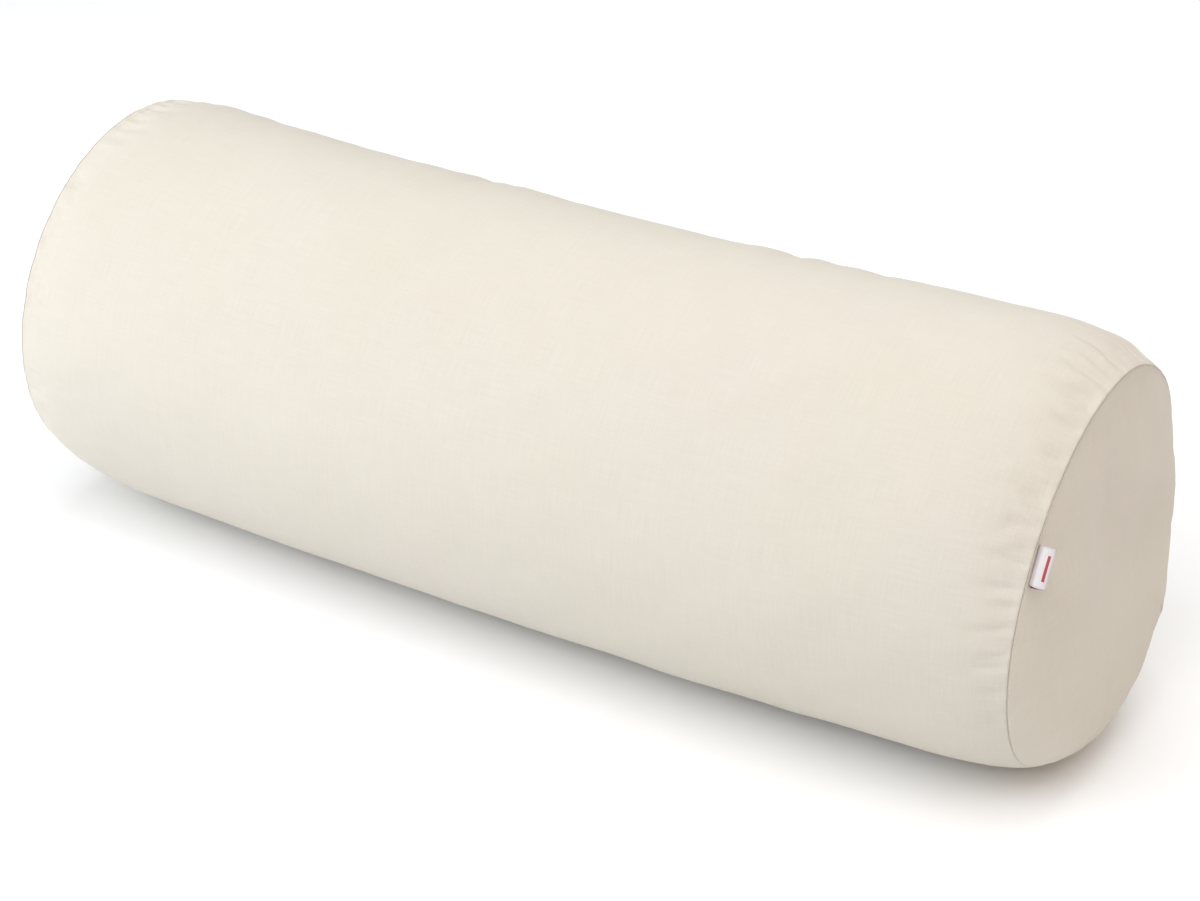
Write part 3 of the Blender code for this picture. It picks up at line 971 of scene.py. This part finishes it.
def plain_weave(n, u, v, pitch):
    """Height of a plain weave, 0 to 1: threads pass over and under by turns."""
    cell_u, cell_v = (n.maths("FLOOR", n.maths("DIVIDE", value, pitch)) for value in (u, v))
    parity = n.maths("PINGPONG", n.maths("ADD", cell_u, cell_v), 1.0)
    warp = n.maths("MULTIPLY", n.ridges(v, pitch), n.spread(parity, 0, 1, 0.62, 1.0))
    weft = n.maths("MULTIPLY", n.ridges(u, pitch), n.spread(parity, 0, 1, 1.0, 0.62))
    return n.maths("MAXIMUM", warp, weft)


def cotton(name, colour, pitch, speck):
    """Plain-weave cotton: woven bump, uneven threads, soft warm and cool patches, and painted shade in the
    weave's hollows.
    """
    n = Nodes(name)
    u, v = cloth_uv(n)
    height = plain_weave(n, u, v, pitch)
    along = n.noise(n.scaled(u, 45, v, 0.9 / pitch), 1.0)
    across = n.noise(n.scaled(u, 0.9 / pitch, v, 45), 1.0)
    slub = n.maths("MULTIPLY_ADD", along, 0.5, n.maths("MULTIPLY", across, 0.5))
    place = n.place()
    patch = n.noise(place, 9.0, 3.0, 0.55)
    cloud = n.noise(place, 24.0)
    light = tuple(c * 1.015 for c in colour)
    pink = (colour[0], colour[1] * 0.975, colour[2] * 0.975)
    yellow = (colour[0] * 0.99, colour[1] * 0.985, colour[2] * 0.93)
    base = n.mix(n.spread(patch, 0.35, 0.65), pink, yellow)
    base = n.mix(0.5, colour, base)
    base = n.mix(n.spread(cloud, 0.3, 0.7, 0, 0.5), base, light)
    shade = n.spread(slub, 0.3, 0.7, 0.955, 1.02)
    # painted shade: the weave's low places are darkened by up to 7 per cent; the uneven thread tone
    # multiplied in above is the cloth's own
    shade = n.maths("MULTIPLY", shade, n.spread(height, 0.35, 1.0, 0.93, 1.0))
    base = n.mix(1.0, base, n.grey(shade), "MULTIPLY")
    dots = n.noise(n.scaled(u, 900, v, 900), 1.0, 1.0)
    base = n.mix(n.spread(dots, 0.77, 0.82, 0, speck), base, (0.45, 0.33, 0.2))
    lumps = n.bump(slub, 0.00035, 0.5)
    return n.surface(base, 0.88, n.bump(height, 0.00016, 0.55, lumps),
                     Sheen_Weight=0.12, Sheen_Roughness=0.5, Specular_IOR_Level=0.2)


def twisted_thread(name, colour):
    """Sewing thread: fine slanting twist, with painted shade in its grooves."""
    n = Nodes(name)
    twist = n.add("TexWave", Vector=n.place(), Scale=900.0, Distortion=1.5).outputs["Fac"]
    # painted shade: the thread is darker in the grooves of its twist, where the bump is low
    dark = tuple(c * 0.82 for c in colour)
    return n.surface(n.mix(twist, dark, colour), 0.6, n.bump(twist, 0.00005, 0.5))


def satin():
    """White satin ribbon with fine ribs, woven edges, one plain red line, and painted shade over its root by
    the seam.
    """
    n = Nodes("label_satin")
    u, v = cloth_uv(n)
    height = n.maths("MULTIPLY_ADD", n.ridges(u, 0.0006), 0.3, n.ridges(v, 0.00035))
    from_edge = n.maths("MINIMUM", v, n.maths("SUBTRACT", LABEL_WIDTH, v))
    selvedge = n.spread(from_edge, 0.0007, 0.0009, 1, 0)
    white = n.mix(selvedge, (0.59, 0.56, 0.575), (0.54, 0.51, 0.53))
    # painted shade: the ribbon's first millimetres out of the seam are darkened to a mauve grey, standing in
    # for the shadow in the seam's groove under the tube's edge
    painted_root_shade = n.spread(u, 0.0066, 0.0086, 1, 0)
    white = n.mix(painted_root_shade, white, (0.47, 0.41, 0.40))
    off = n.maths("ABSOLUTE", n.maths("SUBTRACT", u, 0.0123))
    line = n.maths("MULTIPLY", n.spread(off, 0.0006, 0.0008, 1, 0),
                   n.spread(from_edge, 0.0034, 0.0036, 0, 1))
    colour = n.mix(line, white, (0.36, 0.03, 0.04))
    return n.surface(colour, 0.42, n.bump(height, 0.00005, 0.4), Sheen_Weight=0.1)


def satin_back():
    """The ribbon's wrong side, where the red weft floats."""
    n = Nodes("label_satin_back")
    u, v = cloth_uv(n)
    floats = n.noise(n.scaled(u, 300, v, 2800), 1.0)
    colour = n.mix(n.spread(floats, 0.35, 0.65), (0.16, 0.02, 0.025), (0.34, 0.05, 0.05))
    return n.surface(colour, 0.6, n.bump(floats, 0.00006, 0.5))


def herringbone():
    """Woven zip tape, mapped by its own length and height, with painted shade in the grooves of its twill.
    """
    n = Nodes("zip_tape")
    split = n.add("SeparateXYZ", i0=n.place())
    u, v = split.outputs[0], split.outputs[2]
    fold = n.maths("PINGPONG", v, 0.0015)
    slant = n.maths("SINE", n.maths("MULTIPLY", n.maths("ADD", u, fold), TURN / 0.0009))
    # painted shade: the tape is darker in the twill's grooves, the low side of the same wave that makes its
    # bump
    shade = n.spread(slant, -1, 1, 0.86, 1.0)
    colour = n.mix(1.0, (0.74, 0.68, 0.58), n.grey(shade), "MULTIPLY")
    return n.surface(colour, 0.8, n.bump(slant, 0.00008, 0.5))


def nylon():
    """Translucent-looking moulded nylon, with a faint cloudy tone."""
    n = Nodes("zip_coil")
    cloudy = n.noise(n.place(), 700.0)
    colour = n.mix(cloudy, (0.70, 0.65, 0.56), (0.80, 0.76, 0.68))
    rough = n.spread(cloudy, 0.3, 0.7, 0.28, 0.4)
    return n.surface(colour, rough, n.bump(cloudy, 0.00002, 0.3), Coat_Weight=0.2,
                     Subsurface_Weight=0.15, Subsurface_Radius=(0.001, 0.001, 0.001))


def plated():
    """Nickel-plated zinc: fine tumbling marks and a blotchy tone."""
    n = Nodes("zip_metal")
    place = n.place()
    fine = n.noise(place, 1100.0)
    broad = n.noise(place, 260.0)
    colour = n.mix(broad, (0.62, 0.60, 0.57), (0.74, 0.73, 0.70))
    rough = n.spread(fine, 0.3, 0.7, 0.2, 0.27)
    return n.surface(colour, rough, n.bump(broad, 0.00003, 0.15), Metallic=1.0)


def husks():
    """Loose husk filling, seen only with the cushion open."""
    n = Nodes("filling")
    cell = n.add("TexVoronoi", Vector=n.place(), Scale=220.0)
    tone = n.add("SeparateXYZ", i0=cell.outputs["Color"]).outputs[0]
    colour = n.mix(tone, (0.50, 0.36, 0.18), (0.78, 0.64, 0.40))
    return n.surface(colour, 0.85, n.bump(cell.outputs["Distance"], 0.002, 0.6))


COVER_COLOUR = (0.664, 0.630, 0.563)
CALICO_COLOUR = (0.70, 0.62, 0.47)
THREAD_COLOUR = (0.66, 0.57, 0.44)


def dress(obj, material):
    obj.data.materials.clear()
    obj.data.materials.append(material)


def place_piece(obj, node, material, body="bolster"):
    """A finished piece: the CAD node it stands for, its material and its body."""
    dress(obj, material)
    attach(obj, body)
    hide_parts(node)


# ---- studio
CAMERA_AZIMUTH = 30.33
CAMERA_ELEVATION = 29.98
CAMERA_DISTANCE = 1.4192
CAMERA_TARGET = (0.0371, -0.0400, 0.110)
LENS = 85


def toward(azimuth, elevation):
    """The direction from the object to a place at this azimuth (0 is the front) and elevation."""
    az, el = math.radians(azimuth), math.radians(elevation)
    return Vector((math.sin(az) * math.cos(el), -math.cos(az) * math.cos(el), math.sin(el)))


def aim(obj, target):
    obj.rotation_euler = (Vector(target) - obj.location).to_track_quat("-Z", "Y").to_euler()


def soft_light(name, azimuth, elevation, distance, size, power, colour, target):
    data = bpy.data.lights.new(name, "AREA")
    data.shape = "RECTANGLE"
    data.size, data.size_y = size
    data.energy = power
    data.color = colour
    light = bpy.data.objects.new(name, data)
    bpy.context.scene.collection.objects.link(light)
    light.location = Vector(target) + toward(azimuth, elevation) * distance
    aim(light, target)


def build_studio():
    scene = bpy.context.scene
    camera_data = bpy.data.cameras.new("camera")
    camera_data.lens = LENS
    camera_data.sensor_width = 36
    camera_data.clip_start = 0.01
    camera = bpy.data.objects.new("camera", camera_data)
    scene.collection.objects.link(camera)
    camera.location = Vector(CAMERA_TARGET) + toward(CAMERA_AZIMUTH, CAMERA_ELEVATION) * CAMERA_DISTANCE
    aim(camera, CAMERA_TARGET)
    scene.camera = camera
    scene.view_settings.view_transform = "Standard"

    world = bpy.data.worlds.new("studio")
    world.use_nodes = True
    background = world.node_tree.nodes["Background"]
    background.inputs["Color"].default_value = (1.0, 0.935, 0.86, 1)
    background.inputs["Strength"].default_value = 0.38
    scene.world = world
    for light in LIGHTS:
        soft_light(*light)

    mesh = bpy.data.meshes.new("floor")
    edge = 6.0
    corners = [(-edge, -edge, 0), (edge, -edge, 0), (edge, edge, 0), (-edge, edge, 0)]
    mesh.from_pydata(corners, [], [(0, 1, 2, 3)])
    floor = bpy.data.objects.new("floor", mesh)
    scene.collection.objects.link(floor)
    paper = Nodes("studio_paper").surface((0.935, 0.947, 0.967), 0.9, Specular_IOR_Level=0.1)
    dress(floor, paper)


# name, azimuth, elevation, distance, (width, height), power, colour, the place it points at
LIGHTS = [
    ("front_left", -50, 20, 1.6, (1.2, 1.0), 14.0, (0.99, 1.04, 1.08), (-0.1, 0, 0.1)),
    ("front", -10, 40, 1.8, (1.4, 1.2), 5.0, (1.0, 1.01, 1.03), (0, 0, 0.1)),
    ("front_high", -15, 62, 1.9, (1.4, 1.2), 8.3, (1.0, 1.015, 1.035), (0, 0, 0.1)),
    ("behind", 180, 50, 1.9, (1.4, 1.4), 13.2, (0.99, 1.04, 1.09), (0, 0, 0.1)),
    ("right_high", 60, 65, 1.8, (1.2, 1.2), 11.4, (1.0, 0.995, 0.99), (0.1, 0, 0.1)),
    ("warm_right", 90, 25, 1.8, (1.2, 1.2), 3.5, (1.0, 0.69, 0.45), (0, 0, 0.1)),
]


# ---- assembly
def main():
    build_studio()
    tube_detail, panel_details = pucker_detail()

    cover = cotton("cover_cotton", COVER_COLOUR, 0.00065, speck=0.15)
    calico = cotton("inner_calico", CALICO_COLOUR, 0.0008, speck=0.5)
    thread = twisted_thread("sewing_thread", THREAD_COLOUR)
    metal = plated()
    coil_nylon = nylon()

    tube = build_tube(tube_detail)
    place_piece(tube, "cover_tube", cover)
    for side, end, detail in ((-1, "plain", panel_details[0]), (1, "label", panel_details[1])):
        panel = build_end(side, detail)
        place_piece(panel, "cover_end_" + end, cover)
        stitches = build_seam_stitches(side, tube_detail, "seam_stitches_" + end)
        place_piece(stitches, "cover_seam_thread_" + end, thread)

    label, length = build_label()
    place_piece(label, "side_label", satin())
    label.data.materials.append(satin_back())

    tape = herringbone()
    for half, side in (("upper", 1), ("lower", -1)):
        place_piece(build_coil(side, "coil_" + half), "zip_coil_" + half, coil_nylon)
        dress(frame["nodes"]["zip_tape_" + half], tape)
    stop_from, stop_to = COIL_HI + 0.0005, COIL_HI + 0.0030
    for name, x0, x1, up0, up1 in (("top_stop_upper", stop_from, stop_to, 0.0004, 0.0029),
                                   ("top_stop_lower", stop_from, stop_to, -0.0029, -0.0004),
                                   ("bottom_stop", -stop_to, -stop_from, -0.0029, 0.0029)):
        place_piece(build_stop(x0, x1, up0, up1, name), "zip_" + name, metal)
    place_piece(build_zip_stitching(), "zip_stitching", thread)
    place_piece(build_slider(), "zip_slider", metal, body="zip_slider")
    place_piece(build_pull(), "zip_pull", metal, body="zip_pull")

    inner = build_inner_tube()
    place_piece(inner, "inner_tube", calico)
    for side, end in ((-1, "plain"), (1, "label")):
        panel = build_inner_end(side, "inner_end_panel_" + end)
        place_piece(panel, "inner_end_" + end, calico)
        stitches = build_inner_stitches(side, "inner_seam_stitches_" + end)
        place_piece(stitches, "inner_seam_thread_" + end, thread)
    place_piece(build_closing_stitch(), "inner_closing_stitch", thread)
    stuffing = build_filling()
    place_piece(stuffing, "filling", husks())


main()
